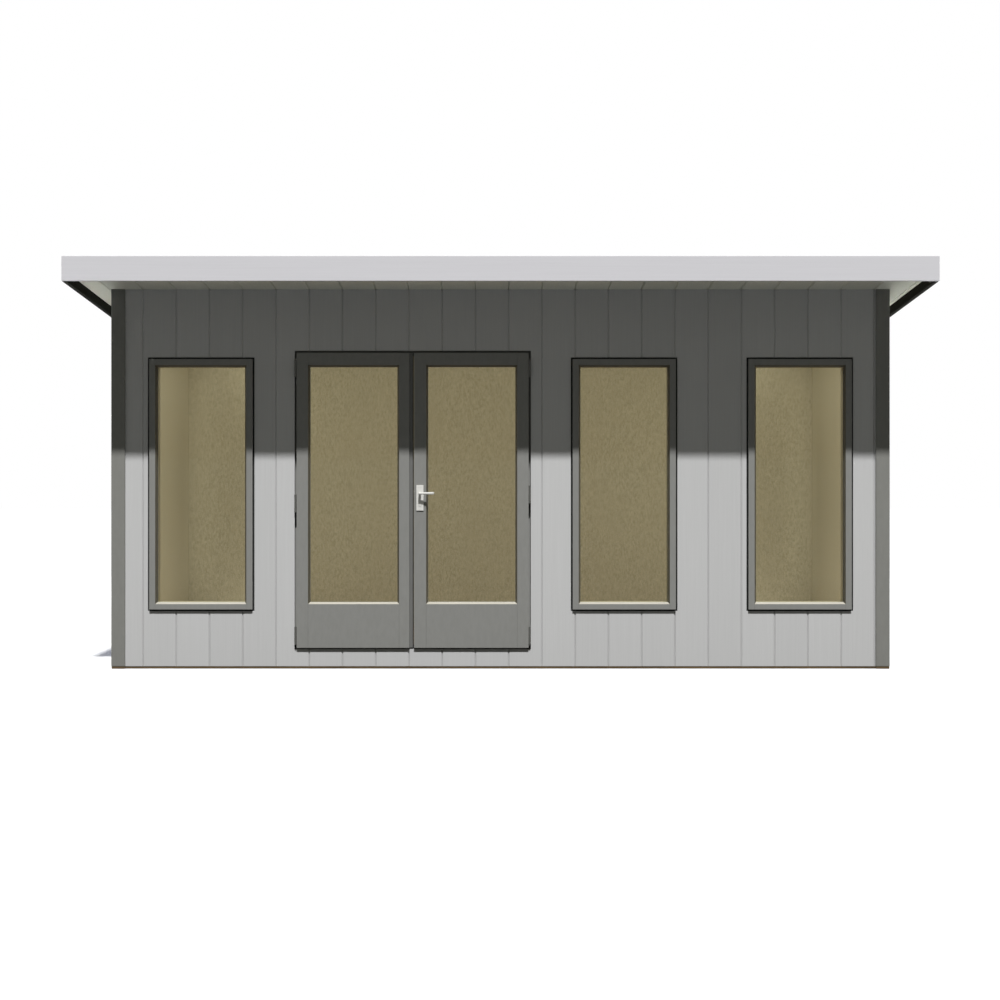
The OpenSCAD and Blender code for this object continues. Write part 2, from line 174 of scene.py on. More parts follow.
# Sole strips
# Thin treated battens lie on the ground under the foot of the cladding on all four sides, nailed to
# the bearers, with short pieces before them under the corner trims. They show as a brown line.
strip_set_back = 0.002
strip_clear = 0.0005
strip_ease = 0.001
outer_low, outer_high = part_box("back_cladding")
outer_low.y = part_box("front_cladding_left")[0].y
beam_low, beam_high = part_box("ground_bearers")
strip_low = Vector((outer_low.x + strip_set_back, outer_low.y + strip_set_back, 0))
strip_high = Vector((outer_high.x - strip_set_back, outer_high.y - strip_set_back,
                     outer_low.z - strip_clear))
bm = bmesh.new()
for y0, y1 in ((strip_low.y, beam_low.y - strip_clear), (beam_high.y + strip_clear, strip_high.y)):
    add_block(bm, (strip_low.x, y0, strip_low.z), (strip_high.x, y1, strip_high.z), strip_ease)
for x0, x1 in ((strip_low.x, beam_low.x - strip_clear), (beam_high.x + strip_clear, strip_high.x)):
    add_block(bm, (x0, beam_low.y, strip_low.z), (x1, beam_high.y, strip_high.z), strip_ease)
for end in ("front", "back"):
    for side in ("left", "right"):
        low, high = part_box(f"trim_{end}_{side}")
        foot = low.z - strip_clear
        x0, x1 = low.x + strip_set_back, high.x - strip_set_back
        y0, y1 = low.y + strip_set_back, high.y - strip_set_back
        face_y = (y0, strip_low.y - strip_clear) if end == "front" else (strip_high.y + strip_clear, y1)
        side_x = (x0, strip_low.x - strip_clear) if side == "left" else (strip_high.x + strip_clear, x1)
        side_y = (strip_low.y, y1) if end == "front" else (y0, strip_high.y)
        add_block(bm, (x0, face_y[0], 0), (x1, face_y[1], foot), strip_ease)
        add_block(bm, (side_x[0], side_y[0], 0), (side_x[1], side_y[1], foot), strip_ease)
finish_piece("sole_strips", bm, [treated_softwood], "building")

# Floor boards
# Planed spruce boards, tongued and grooved, nailed across the bearers and run from side to side.
# Their top edges are chamfered, so that a small V shows at each joint.


def add_board(bm, low, high, along, face, chamfer, shape=None):
    """A matched board between two corners. "along" is the axis of its length, and "face" the axis and
    sign of its seen side, whose long edges are chamfered to make half of a V-groove each."""
    verts = add_cuboid(bm, low, high)
    axis, sign = face
    middle = (low[axis] + high[axis]) / 2
    edges = [
        edge for edge in edges_of(verts)
        if all((vert.co[axis] - middle) * sign > 0 for vert in edge.verts)
        and edge.verts[0].co[along] != edge.verts[1].co[along]
    ]
    if shape:
        for vert in verts:
            vert.co.z = shape(vert.co)
    bevel(bm, edges, chamfer, steps=1)


def board_edges(start, end, first, pitch):
    """Where the boards between two ends meet: the ends, and a joint at each pitch from the first."""
    joints = [first + i * pitch for i in range(int((end - first) / pitch) + 1)]
    return [start] + [x for x in joints if start < x < end] + [end]


def place_along(tree, axis):
    """Where a point of a piece lies along one axis, in metres."""
    place = add_node(tree, "ShaderNodeTexCoord", {})
    parts = add_node(tree, "ShaderNodeSeparateXYZ", {"Vector": place.outputs["Object"]})
    return parts.outputs[axis]


def calculate(tree, operation, first, second=0.0):
    """One step of arithmetic on sockets or plain numbers."""
    return add_node(tree, "ShaderNodeMath", {"operation": operation, 0: first, 1: second}).outputs[0]


def board_shade(tree, first, pitch, axis):
    """A value from 0 to 1 that is the same all over one board and differs from board to board."""
    offset = calculate(tree, "SUBTRACT", place_along(tree, axis), first)
    number = calculate(tree, "FLOOR", calculate(tree, "DIVIDE", offset, pitch))
    noise = add_node(tree, "ShaderNodeTexWhiteNoise", {"noise_dimensions": "1D", "W": number})
    return noise.outputs["Value"]


floor_pitch = 0.120
floor_joint = 0.0008
floor_chamfer = 0.002
floor_low, floor_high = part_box("floor_deck")

# Oiled spruce: pale honey, each board its own shade, with fine grain along the board.
oiled_spruce, tree, shader = start_material("oiled_spruce", {"Roughness": 0.5})
grain = streaks(tree, across=0.005, lengthwise=0.5, along=0)
shade = board_shade(tree, floor_low.y, floor_pitch, axis=1)
pale_board = mix_colours(tree, grain, "#A98655", "#C6A673")
dark_board = mix_colours(tree, grain, "#977446", "#B59262")
tint(tree, shader, shade, pale_board, dark_board)
add_relief(tree, shader, grain, depth=0.0003)

bm = bmesh.new()
edges = board_edges(floor_low.y, floor_high.y, floor_low.y, floor_pitch)
for start, end in zip(edges, edges[1:]):
    add_board(bm, (floor_low.x, start + floor_joint / 2, floor_low.z),
              (floor_high.x, end - floor_joint / 2, floor_high.z),
              along=0, face=(2, 1), chamfer=floor_chamfer)
finish_piece("floor_boards", bm, [oiled_spruce], "building", ["floor_deck"])

# Wall panels
# Insulated timber panels stand on the floor and carry the roof, split beside and over the doorway.
# A dark breather sheet covers them outside, and a tan fibreboard lines the room.
sheet_skin = 0.0006
cloud_share = 0.5
outer_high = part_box("back_wall")[1]
outer_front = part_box("front_wall_left")[0].y


def coat(material, *names):
    """Gives a material to nodes of the model that show as they are."""
    for name in names:
        nodes[name].material_slots[0].material = material


# Lining fibreboard: matt tan with short pressed fibres, and a black sheet on the outer face.
wall_lining, tree, shader = start_material("wall_lining", {"Roughness": 0.9, "Specular IOR Level": 0.2})
fibre = streaks(tree, across=0.010, lengthwise=0.022, along=2)
cloud = streaks(tree, across=0.16, lengthwise=0.55, along=2)
board_tan = mix_colours(tree, fibre, "#928B6C", "#B1A98A")
lining_tan = mix_colours(tree, calculate(tree, "MULTIPLY", cloud, cloud_share), board_tan, "#A1997A")
aside = calculate(tree, "ABSOLUTE", place_along(tree, axis=0))
inwards = place_along(tree, axis=1)
on_side = calculate(tree, "GREATER_THAN", aside, outer_high.x - sheet_skin)
on_front = calculate(tree, "LESS_THAN", inwards, outer_front + sheet_skin)
on_back = calculate(tree, "GREATER_THAN", inwards, outer_high.y - sheet_skin)
outside = calculate(tree, "MAXIMUM", on_side, calculate(tree, "MAXIMUM", on_front, on_back))
tint(tree, shader, outside, lining_tan, "#262726")
add_relief(tree, shader, fibre, depth=0.0006)

coat(wall_lining, "front_wall_left", "front_wall_right", "front_wall_over_door", "left_wall", "right_wall",
     "back_wall")

# Wall cladding
# Painted softwood boards stand upright round all four walls, matched edge to edge with a V-groove.
# They are nailed over the breather sheet, cut round the windows and doors, and scribed to the soffit.
board_pitch = 0.20648
first_groove = -2.2206
groove_half = 0.006
board_joint = 0.0002
shadow_gap = 0.011
roof_board_thickness = 0.018
soffit_seat = 0.0002
roof_low, roof_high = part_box("roof_boards")
roof_fall = (roof_high.z - roof_board_thickness - roof_low.z) / (roof_high.y - roof_low.y)


def soffit(y):
    """Height of the soffit, which falls towards the back."""
    return roof_low.z + (roof_high.y - y) * roof_fall


def under_soffit(corner):
    """A shape that keeps a piece's foot and cuts its top to the soffit."""
    return corner.z if corner.z < clad_middle_z else soffit(corner.y) - soffit_seat


def cut_away(piece, cutters):
    """Cuts blocks or rods, given as one mesh of cutters, out of a finished piece."""
    mesh = bpy.data.meshes.new("cutter")
    cutters.to_mesh(mesh)
    cutters.free()
    tool = bpy.data.objects.new("cutter", mesh)
    bpy.context.scene.collection.objects.link(tool)
    cut = piece.modifiers.new("cut", "BOOLEAN")
    cut.operation = "DIFFERENCE"
    cut.solver = "MANIFOLD"
    cut.object = tool
    whole = piece.data
    graph = bpy.context.evaluated_depsgraph_get()
    piece.data = bpy.data.meshes.new_from_object(piece.evaluated_get(graph))
    piece.modifiers.remove(cut)
    bpy.data.objects.remove(tool)
    bpy.data.meshes.remove(mesh)
    bpy.data.meshes.remove(whole)


def cladding_paint(name, axis, first):
    """Pale grey paint on softwood boards that are counted along one axis."""
    # Brushed satin paint: even pale grey, each board a hair apart, with faint grain under the film.
    paint, tree, shader = start_material(name, {"Roughness": 0.65, "Specular IOR Level": 0.05})
    grain = streaks(tree, across=0.006, lengthwise=0.45, along=2)
    shade = board_shade(tree, first, board_pitch, axis)
    pale_board = mix_colours(tree, grain, "#BCBCBC", "#C0C0C0")
    dark_board = mix_colours(tree, grain, "#B9B9B9", "#BDBDBD")
    tint(tree, shader, shade, pale_board, dark_board)
    add_relief(tree, shader, grain, depth=0.00015)
    return paint


front_paint = cladding_paint("cladding_paint_ends", axis=0, first=first_groove)
clad_low, clad_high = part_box("back_cladding")
front_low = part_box("front_cladding_left")[0]
front_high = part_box("front_cladding_right")[1]
clad_middle_z = (front_low.z + front_high.z) / 2

windows = ("left", "middle", "right")
for name, low, high, sign, replaced in (
        ("front_cladding_boards", front_low, front_high, -1,
         ["front_cladding_left", "front_cladding_right", "front_cladding_over_door",
          "front_cladding_under_door"]),
        ("back_cladding_boards", clad_low, clad_high, 1, ["back_cladding"])):
    bm = bmesh.new()
    edges = board_edges(low.x, high.x, first_groove, board_pitch)
    for start, end in zip(edges, edges[1:]):
        add_board(bm, (start + board_joint / 2, low.y, low.z), (end - board_joint / 2, high.y, high.z),
                  along=2, face=(1, sign), chamfer=groove_half, shape=under_soffit)
    piece = finish_piece(name, bm, [front_paint], "building", replaced)
    if sign < 0:
        cutters = bmesh.new()
        over_low, over_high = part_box("front_cladding_over_door")
        sill_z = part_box("front_cladding_under_door")[1].z
        reach = high.y - low.y
        add_block(cutters, (over_low.x, low.y - reach, sill_z), (over_high.x, high.y + reach, over_low.z))
        for side in windows:
            hole_low, hole_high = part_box("window_frame_" + side)
            add_block(cutters, (hole_low.x - shadow_gap, low.y - reach, hole_low.z - shadow_gap),
                      (hole_high.x + shadow_gap, high.y + reach, hole_high.z + shadow_gap))
        cut_away(piece, cutters)

side_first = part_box("left_cladding")[0].y
side_paint = cladding_paint("cladding_paint_sides", axis=1, first=side_first)
for side, sign in (("left", -1), ("right", 1)):
    low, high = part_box(side + "_cladding")
    bm = bmesh.new()
    edges = board_edges(low.y, high.y, side_first + board_pitch, board_pitch)
    for start, end in zip(edges, edges[1:]):
        add_board(bm, (low.x, start + board_joint / 2, low.z), (high.x, end - board_joint / 2, high.z),
                  along=2, face=(0, sign), chamfer=groove_half, shape=under_soffit)
    finish_piece(side + "_cladding_boards", bm, [side_paint], "building",
                 [side + "_cladding"])

# Corner trims
# Two planed boards, painted dark grey, cover each corner: a wide one on the front or back, and a
# narrower one butted behind it on the side. Both are nailed through the cladding.
trim_thickness = 0.015
trim_ease = 0.002


def vary_gloss(tree, shader, value, smooth, rough):
    """Roughness between two amounts, by a value of 0 to 1."""
    gloss = add_node(tree, "ShaderNodeMapRange", {"To Min": smooth, "To Max": rough, "Value": value})
    tree.links.new(gloss.outputs[0], shader.inputs["Roughness"])


def satin_paint(name, dark, light):
    """Satin paint between two near greys, smooth, with a slight brushed unevenness in shade and gloss."""
    paint, tree, shader = start_material(name, {"Specular IOR Level": 0.02})
    brushing = streaks(tree, across=0.020, lengthwise=0.060, along=2)
    tint(tree, shader, brushing, dark, light)
    vary_gloss(tree, shader, brushing, smooth=0.42, rough=0.56)
    add_relief(tree, shader, brushing, depth=0.0001)
    return paint


# Trim paint: dark grey, a shade deeper than the joinery, so that the corners frame the walls.
trim_paint = satin_paint("trim_paint", "#7E7E7A", "#82827E")

for end, end_sign in (("front", -1), ("back", 1)):
    for side, side_sign in (("left", -1), ("right", 1)):
        node = f"trim_{end}_{side}"
        low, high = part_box(node)
        near_y = low.y + trim_thickness if end_sign < 0 else high.y - trim_thickness
        near_x = low.x + trim_thickness if side_sign < 0 else high.x - trim_thickness
        bm = bmesh.new()
        face_y = (low.y, near_y) if end_sign < 0 else (near_y, high.y)
        return_y = (near_y, high.y) if end_sign < 0 else (low.y, near_y)
        return_x = (low.x, near_x) if side_sign < 0 else (near_x, high.x)
        add_block(bm, (low.x, face_y[0], low.z), (high.x, face_y[1], high.z), trim_ease,
                  under_soffit)
        add_block(bm, (return_x[0], return_y[0], low.z), (return_x[1], return_y[1], high.z), trim_ease,
                  under_soffit)
        finish_piece(f"corner_boards_{end}_{side}", bm, [trim_paint], "building", [node])

# Roof boards
# Matched boards run from front to back over the walls and make both the soffit and the ceiling.
# Their grooves line up with those of the front wall, and their undersides are painted cream.
soffit_joint = 0.0020

# Cream paint on softwood: matt, a little yellow, with the grain showing faintly.
soffit_paint, tree, shader = start_material("soffit_paint", {"Roughness": 0.7, "Specular IOR Level": 0.08})
grain = streaks(tree, across=0.006, lengthwise=0.45, along=1)
shade = board_shade(tree, first_groove, board_pitch, axis=0)
pale_board = mix_colours(tree, grain, "#E2E2D3", "#E8E8DB")
dark_board = mix_colours(tree, grain, "#DEDECE", "#E4E4D6")
tint(tree, shader, shade, pale_board, dark_board)
add_relief(tree, shader, grain, depth=0.0004)


def on_roof(corner):
    """A shape that lays a piece on the roof's fall: each corner keeps its height over the soffit."""
    return soffit(corner.y) + corner.z


bm = bmesh.new()
roof_first = first_groove + round((roof_low.x - first_groove) / board_pitch - 1) * board_pitch
edges = board_edges(roof_low.x, roof_high.x, roof_first, board_pitch)
for start, end in zip(edges, edges[1:]):
    add_board(bm, (start + soffit_joint / 2, roof_low.y, 0),
              (end - soffit_joint / 2, roof_high.y, roof_board_thickness),
              along=1, face=(2, -1), chamfer=groove_half, shape=on_roof)
finish_piece("soffit_boards", bm, [soffit_paint], "building", ["roof_boards"])

# Roof panel and membrane
# Felt-faced insulation lies on the boards, under one black rubber sheet lapped in four widths.
# The sheet runs over the back fascia, and stops behind the fascia and barges on the other sides.
lap_width = 0.080
lap_height = 0.002
lap_chamfer = 0.0018
sheet_count = 4
sheet_thickness = 0.004

# Felt facing on foam: dull charcoal with small flecks, partly the facing's own colour and partly painted
# shade, which keeps the joints of the boards below dark.
felt_facing_and_joint_shade, tree, shader = start_material("felt_facing_and_joint_shade", {"Roughness": 0.95, "Specular IOR Level": 0.05})
flecks = streaks(tree, across=0.004, lengthwise=0.004, along=0)
tint(tree, shader, flecks, "#201F1D", "#2C2B28")
coat(felt_facing_and_joint_shade, "roof_panel")

# Roofing rubber: charcoal, matt, with a fine calendered skin and faint dusty patches.
roof_rubber, tree, shader = start_material("roof_rubber", {"Specular IOR Level": 0.35})
skin = streaks(tree, across=0.006, lengthwise=0.006, along=0)
dust = streaks(tree, across=0.55, lengthwise=0.80, along=1)
tint(tree, shader, dust, "#262728", "#3B3C3C")
vary_gloss(tree, shader, dust, smooth=0.68, rough=0.80)
add_relief(tree, shader, skin, depth=0.0006)

sheet_low, sheet_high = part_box("roof_membrane")
sheet_base = sheet_high.z - sheet_thickness - soffit(sheet_low.y)
bm = bmesh.new()
add_block(bm, (sheet_low.x, sheet_low.y, sheet_base),
          (sheet_high.x, sheet_high.y, sheet_base + sheet_thickness), shape=on_roof)
for i in range(1, sheet_count):
    x = sheet_low.x + i * (sheet_high.x - sheet_low.x) / sheet_count
    add_board(bm, (x - lap_width / 2, sheet_low.y + lap_height, sheet_base + sheet_thickness),
              (x + lap_width / 2, sheet_high.y - lap_height, sheet_base + sheet_thickness + lap_height),
              along=1, face=(2, 1), chamfer=lap_chamfer, shape=on_roof)
finish_piece("roof_sheet", bm, [roof_rubber], "building", ["roof_membrane"])

# Fascia and barge boards
# Deep planed boards close the roof's edges: pale grey ones across the front and back, and charcoal
# barges that follow the fall between them. They hang below the soffit as a drip.
fascia_ease = 0.0015

# Satin fascia paint: pale cool grey, smooth, with long faint brush marks across the front.
fascia_paint, tree, shader = start_material("fascia_paint", {"Roughness": 0.55, "Specular IOR Level": 0.15})
brushing = streaks(tree, across=0.008, lengthwise=0.6, along=0)
tint(tree, shader, brushing, "#CAC9CD", "#CDCCD0")
add_relief(tree, shader, brushing, depth=0.00012)

# Charcoal barge paint: dark, satin and even, so that the roof's ends read as a thin dark line.
barge_paint, tree, shader = start_material("barge_paint", {"Roughness": 0.8, "Specular IOR Level": 0.02})
brushing = streaks(tree, across=0.008, lengthwise=0.6, along=1)
tint(tree, shader, brushing, "#24241F", "#2A2A25")
add_relief(tree, shader, brushing, depth=0.00012)

low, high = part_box("front_fascia")
bm = bmesh.new()
add_block(bm, low, high, fascia_ease)
finish_piece("front_fascia_board", bm, [fascia_paint], "building", ["front_fascia"])

for name, node, material, slot in (
        ("back_fascia_board", "back_fascia", fascia_paint, "fascia_paint"),
        ("left_barge_board", "left_barge", barge_paint, "joinery_paint"),
        ("right_barge_board", "right_barge", barge_paint, "joinery_paint")):
    low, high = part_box(node)
    base = low.z - soffit(high.y)
    depth = high.z - low.z - (high.y - low.y) * roof_fall
    bm = bmesh.new()
    add_block(bm, (low.x, low.y, base), (high.x, high.y, base + depth), fascia_ease, on_roof)
    finish_piece(name, bm, [material], "building", [node])

# Window frames
# Each fixed window is a painted timber frame of two stiles with rails between them, set through the
# wall. A sloped bead holds the glass outside, and a square stop behind it.
bead_width = 0.0115
glass_hold = 0.010
joinery_ease = 0.0008
stile_joint = 0.0003
bead_room = 0.0002
square_on = 0.9
sloped_up = 0.5

# Joinery paint: mid grey on every frame and leaf.
joinery_paint = satin_paint("joinery_paint", "#838380", "#878784")

# Pale bead paint: light warm grey on the bottom bead alone; the bead's own tone with a painted highlight,
# for the sun that its upward slope faces.
sill_bead_tone_and_highlight, tree, shader = start_material("sill_bead_tone_and_highlight", {
    "Roughness": 0.5, "Specular IOR Level": 0.2})
brushing = streaks(tree, across=0.006, lengthwise=0.15, along=0)
tint(tree, shader, brushing, "#A6A398", "#AEABA1")

# Dark bead paint: deep olive brown on the side and top beads, matt, with faint lines along them; their own
# tone with painted shade, for slopes that face away from the sun.
side_bead_tone_and_shade, tree, shader = start_material("side_bead_tone_and_shade", {
    "Roughness": 0.6, "Specular IOR Level": 0.05})
brushing = streaks(tree, across=0.006, lengthwise=0.15, along=2)
tint(tree, shader, brushing, "#5A574C", "#636055")


def add_ring(bm, low, high, front_inset, back_inset):
    """A mitred ring between two corners, open from front to back: its opening is set in from the
    outer edge by one width at the front and by another at the back. Returns the opening's faces."""
    verts = add_cuboid(bm, low, high)
    bm.normal_update()
    faces = dict.fromkeys(face for vert in verts for face in vert.link_faces)
    ends = [face for face in faces if abs(face.normal.y) > square_on]
    for face in ends:
        inset = front_inset if face.normal.y < 0 else back_inset
        if inset:
            bmesh.ops.inset_individual(bm, faces=[face], thickness=inset, use_even_offset=True)
    rims = [edge for face in ends for edge in face.edges]
    bmesh.ops.delete(bm, geom=ends, context="FACES_ONLY")
    return bmesh.ops.bridge_loops(bm, edges=rims)["faces"]


def add_glazed_frame(bm, node, glass):
    """Stiles, rails, bead and stop of a frame or leaf, from its node and the glass it holds. Their
    materials are, in this order: joinery, bottom bead, other beads and stop; the two bead paints put a
    painted highlight on the bottom slope and painted shade on the other slopes, over the bead's own tone."""
    low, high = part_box(node)
    pane_low, pane_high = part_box(glass)
    lip = bead_width - glass_hold
    in_low = Vector((pane_low.x - lip, low.y, pane_low.z - lip))
    in_high = Vector((pane_high.x + lip, high.y, pane_high.z + lip))
    for x0, x1 in ((low.x, in_low.x), (in_high.x, high.x)):
        add_block(bm, (x0, low.y, low.z), (x1, high.y, high.z), joinery_ease)
    for z0, z1 in ((low.z, in_low.z), (in_high.z, high.z)):
        add_block(bm, (in_low.x + stile_joint, low.y, z0), (in_high.x - stile_joint, high.y, z1),
                  joinery_ease)
    room = Vector((bead_room, bead_room, bead_room))
    width = bead_width - bead_room
    bead_back = Vector((in_high.x, pane_low.y, in_high.z))
    slopes = add_ring(bm, in_low + room, bead_back - room, 0.0, width)
    bm.normal_update()
    # Slopes that face up take the pale bead paint as a painted highlight, and the rest take the dark bead
    # paint as painted shade.
    for face in slopes:
        face.material_index = 1 if face.normal.z > sloped_up else 2
    stop_front = Vector((in_low.x, pane_high.y, in_low.z))
    for face in add_ring(bm, stop_front + room, in_high - room, width, width):
        face.material_index = 3


window_finishes = [joinery_paint, sill_bead_tone_and_highlight, side_bead_tone_and_shade, wall_lining]
leaf_finishes = [joinery_paint, sill_bead_tone_and_highlight, side_bead_tone_and_shade, joinery_paint]
for side in windows:
    bm = bmesh.new()
    add_glazed_frame(bm, "window_frame_" + side, "window_glass_" + side)
    finish_piece("window_joinery_" + side, bm, window_finishes, "building",
                 ["window_frame_" + side])

# Glass
# Clear sealed units, one in each window and door leaf, bedded between bead and stop.
# The glass is smooth and nearly colourless, so it shows the lined room behind it.

# Clear float glass: a faint green-grey body, a polished face and little else.
clear_glass = start_material("clear_glass", {
    "Base Color": linear("#3A403A"), "Roughness": 0.02, "IOR": 1.5, "Alpha": 0.10})[0]

coat(clear_glass, "window_glass_left", "window_glass_middle", "window_glass_right", "left_door_glass",
     "right_door_glass")

# Door frame
# Jambs, head and threshold of painted timber stand behind the cladding and carry the doors.
# They are screwed to the wall panels, and their rebates stop the leaves.
coat(joinery_paint, "door_jambs", "door_head", "door_threshold")

# Door leaves
# Two framed leaves in the same paint as the windows, each with a tall pane over a deep bottom rail.
# The left leaf carries a thin strip on its meeting edge, which covers the gap between the leaves.
lever_hole = 0.014
hole_sides = 32
cover_ease = 0.0015
fin_clear = 0.0022
fin_thickness = 0.006
fin_set_back = 0.010

# Dark strip paint: the joinery grey a good shade deeper, satin and even.
strip_paint, tree, shader = start_material("strip_paint", {"Roughness": 0.5, "Specular IOR Level": 0.12})
brushing = streaks(tree, across=0.010, lengthwise=0.15, along=2)
tint(tree, shader, brushing, "#666664", "#6D6D6B")

# Seal rubber: extruded black fin, matt, with faint drawn lines along it.
seal_rubber, tree, shader = start_material("seal_rubber", {"Roughness": 0.75})
drawn = streaks(tree, across=0.0015, lengthwise=0.25, along=2)
tint(tree, shader, drawn, "#1E1E1E", "#2A2A29")

bm = bmesh.new()
add_glazed_frame(bm, "left_door_leaf", "left_door_glass")
finish_piece("left_leaf_joinery", bm, leaf_finishes, "left_door", ["left_door_leaf"])

bm = bmesh.new()
strip_low, strip_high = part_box("meeting_strip")
add_block(bm, strip_low, strip_high, cover_ease)
finish_piece("meeting_cover_strip", bm, [strip_paint], "left_door", ["meeting_strip"])

bm = bmesh.new()
right_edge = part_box("right_door_leaf")[0].x
add_block(bm, (strip_high.x, strip_low.y + fin_set_back, strip_low.z),
          (right_edge - fin_clear, strip_low.y + fin_set_back + fin_thickness, strip_high.z), cover_ease)
finish_piece("meeting_seal", bm, [seal_rubber], "left_door")

bm = bmesh.new()
add_glazed_frame(bm, "right_door_leaf", "right_door_glass")
piece = finish_piece("right_leaf_joinery", bm, leaf_finishes, "right_door",
                     ["right_door_leaf"])

lever_low, lever_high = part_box("door_lever")
leaf_low, leaf_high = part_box("right_door_leaf")
lever_height = lever_high.z - lever_low.z
lever_axis = Vector((lever_low.x + lever_height / 2, (leaf_low.y + leaf_high.y) / 2,
                     (lever_low.z + lever_high.z) / 2))
quarter_turn = 1.5707963
across_leaf = Matrix.Rotation(quarter_turn, 4, "X")
cutters = bmesh.new()
bmesh.ops.create_cone(cutters, cap_ends=True, segments=hole_sides, radius1=lever_hole, radius2=lever_hole,
                      depth=2 * (leaf_high.y - leaf_low.y),
                      matrix=Matrix.Translation(lever_axis) @ across_leaf)
cut_away(piece, cutters)

# Hinges
# Three steel butt hinges on each leaf: their knuckles stand in the gap beside the stile, with one
# flap on the jamb and one on the edge of the leaf.

# Zinc-plated steel, dulled outdoors to a dark grey: nearly matt, slightly mottled.
plated_steel, tree, shader = start_material("plated_steel", {"Metallic": 0.1, "Specular IOR Level": 0.05})
mottle = streaks(tree, across=0.004, lengthwise=0.009, along=2)
tint(tree, shader, mottle, "#52524F", "#60605C")
vary_gloss(tree, shader, mottle, smooth=0.38, rough=0.55)

coat(plated_steel, "frame_hinges", "left_door_hinges", "right_door_hinges")

# Handle
# A bevelled plate is screwed to each face of the right leaf, with a lock cylinder under the lever.
# One lever on each side turns on a shared spindle.

# Silver lacquer on cast zinc: pale, satin, with a fine brushed grain that runs up the plate.
silver_lacquer, tree, shader = start_material("silver_lacquer", {"Specular IOR Level": 0.15})
brushing = streaks(tree, across=0.0012, lengthwise=0.030, along=2)
tint(tree, shader, brushing, "#CECDC8", "#D5D4D0")
vary_gloss(tree, shader, brushing, smooth=0.32, rough=0.46)

coat(silver_lacquer, "handle_plates")

screw_radius = 0.0042
screw_rise = 0.0008
screw_inset = 0.012
cylinder_radius = 0.0085
cylinder_rise = 0.002
cylinder_drop = 0.072
slot_width = 0.0024
slot_height = 0.009
slot_depth = 0.0012
rod_sides = 24


def add_rod(bm, middle, radius, length, ease):
    """A short turned piece across the leaf, with eased rims."""
    verts = bmesh.ops.create_cone(bm, cap_ends=True, segments=rod_sides, radius1=radius, radius2=radius,
                                  depth=length, matrix=Matrix.Translation(middle) @ across_leaf)["verts"]
    rims = [edge for edge in edges_of(verts) if abs(edge.verts[0].co.y - edge.verts[1].co.y) < length / 2]
    bevel(bm, rims, ease, steps=2)


plate_low, plate_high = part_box("handle_plates")
plate_x = (plate_low.x + plate_high.x) / 2
lock_z = lever_axis.z - cylinder_drop
bm = bmesh.new()
for face_y, sign in ((plate_low.y, -1), (plate_high.y, 1)):
    for z in (plate_low.z + screw_inset, plate_high.z - screw_inset):
        add_rod(bm, (plate_x, face_y + sign * screw_rise / 2, z), screw_radius, screw_rise,
                screw_rise / 3)
    add_rod(bm, (plate_x, face_y + sign * cylinder_rise / 2, lock_z), cylinder_radius, cylinder_rise,
            cylinder_rise / 4)
piece = finish_piece("lock_and_screws", bm, [silver_lacquer], "right_door")
cutters = bmesh.new()
for face_y, sign in ((plate_low.y, -1), (plate_high.y, 1)):
    slot_y = face_y + sign * cylinder_rise
    add_block(cutters, (plate_x - slot_width / 2, slot_y - slot_depth, lock_z - slot_height / 2),
              (plate_x + slot_width / 2, slot_y + slot_depth, lock_z + slot_height / 2))
cut_away(piece, cutters)

neck_radius = 0.008
neck_ease = 0.001
spindle_radius = 0.004
bar_thickness = 0.012
bar_height = 0.014
bar_ease = 0.004
bm = bmesh.new()
for bar_y, neck_y in (((lever_low.y, lever_low.y + bar_thickness), leaf_low.y),
                      ((lever_high.y - bar_thickness, lever_high.y), leaf_high.y)):
    neck_end = (bar_y[0] + bar_y[1]) / 2
    add_rod(bm, (lever_axis.x, (neck_end + neck_y) / 2, lever_axis.z), neck_radius,
            abs(neck_end - neck_y), neck_ease)
    add_block(bm, (lever_axis.x - bar_height / 2, bar_y[0], lever_axis.z - bar_height / 2),
              (lever_high.x, bar_y[1], lever_axis.z + bar_height / 2), bar_ease)
add_rod(bm, lever_axis, spindle_radius, leaf_high.y - leaf_low.y, neck_ease)
finish_piece("turned_lever", bm, [silver_lacquer], "lever", ["door_lever"])

# Stage
# A plain pale floor and a white surround, which stay white behind the pod and keep its shadow.
# Bounced light sees a darker floor, darkest close to the front and back walls, so that the shade
# under the roof and the foot of the walls stay deep.
floor_reach = 60.0
floor_drop = 0.0005
near_walls = 0.2
off_walls = 1.8
front_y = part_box("front_cladding_left")[0].y
back_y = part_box("back_cladding")[1].y
middle_y = (front_y + back_y) / 2
half_depth = (back_y - front_y) / 2


def split_rays(tree, for_bounces, for_sight):
    """One shader for bounced light, and another for what is seen directly, in gloss or through glass."""
    path = add_node(tree, "ShaderNodeLightPath", {})
    seen = calculate(tree, "MAXIMUM", path.outputs["Is Camera Ray"], path.outputs["Is Glossy Ray"])
    shown = calculate(tree, "MAXIMUM", seen, path.outputs["Is Transmission Ray"])
    mixed = add_node(tree, "ShaderNodeMixShader", {
        0: shown, 1: for_bounces.outputs[0], 2: for_sight.outputs[0]})
    return mixed.outputs[0]


